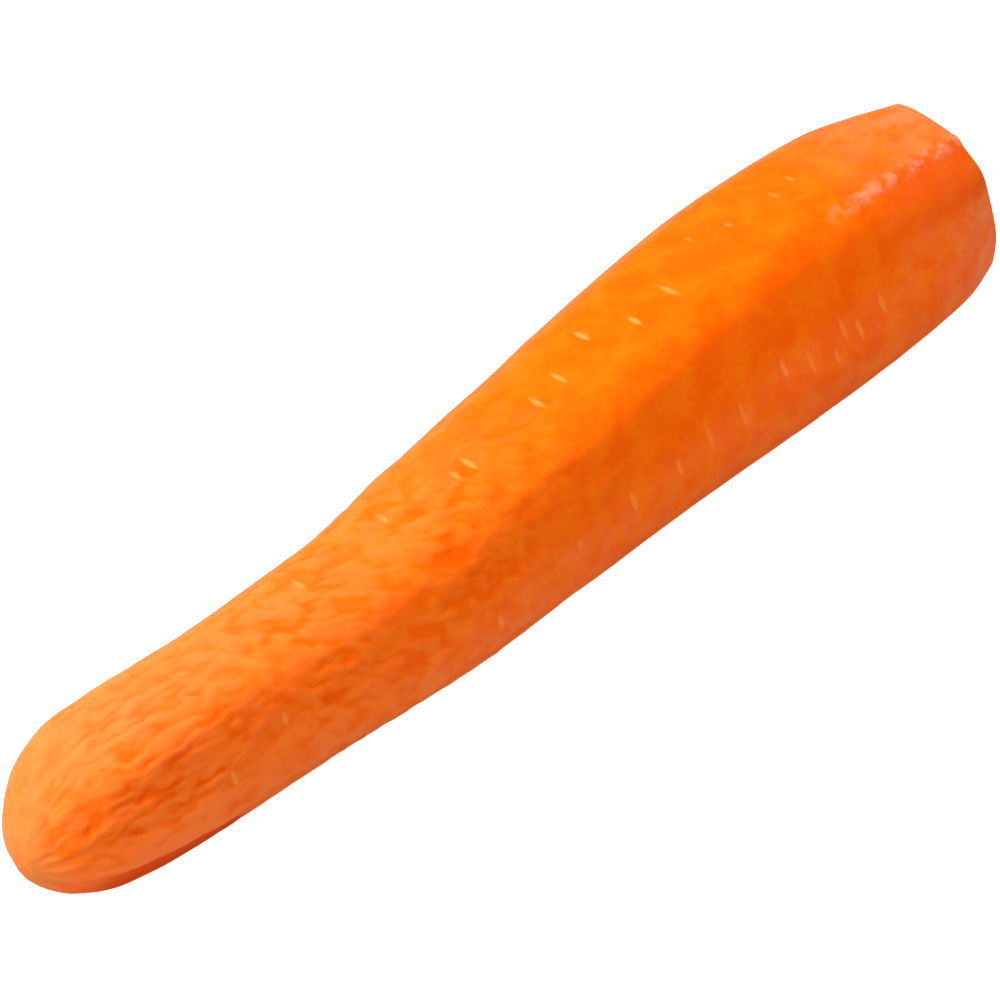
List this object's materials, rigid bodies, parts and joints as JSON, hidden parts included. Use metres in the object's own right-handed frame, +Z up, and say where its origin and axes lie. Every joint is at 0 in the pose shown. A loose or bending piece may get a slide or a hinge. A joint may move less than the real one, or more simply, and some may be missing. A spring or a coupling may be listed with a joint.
{
  "type": "carrot",
  "caption": "Whole peeled carrot root lying on its side, with a blunt wrinkled tip and a knife-trimmed crown without leaves.",
  "frame": {"origin": "on the surface that the root lies on, under the middle of its bounding box", "axes": "+X along the root from the tip to the cut crown, +Z up from the surface that it lies on"},
  "size_m": [0.2, 0.04, 0.0387],
  "materials": {
    "carrot_flesh": "satin"
  },
  "bodies": {
    "root": {"carrot_root": "carrot_flesh"}
  },
  "joints": []
}
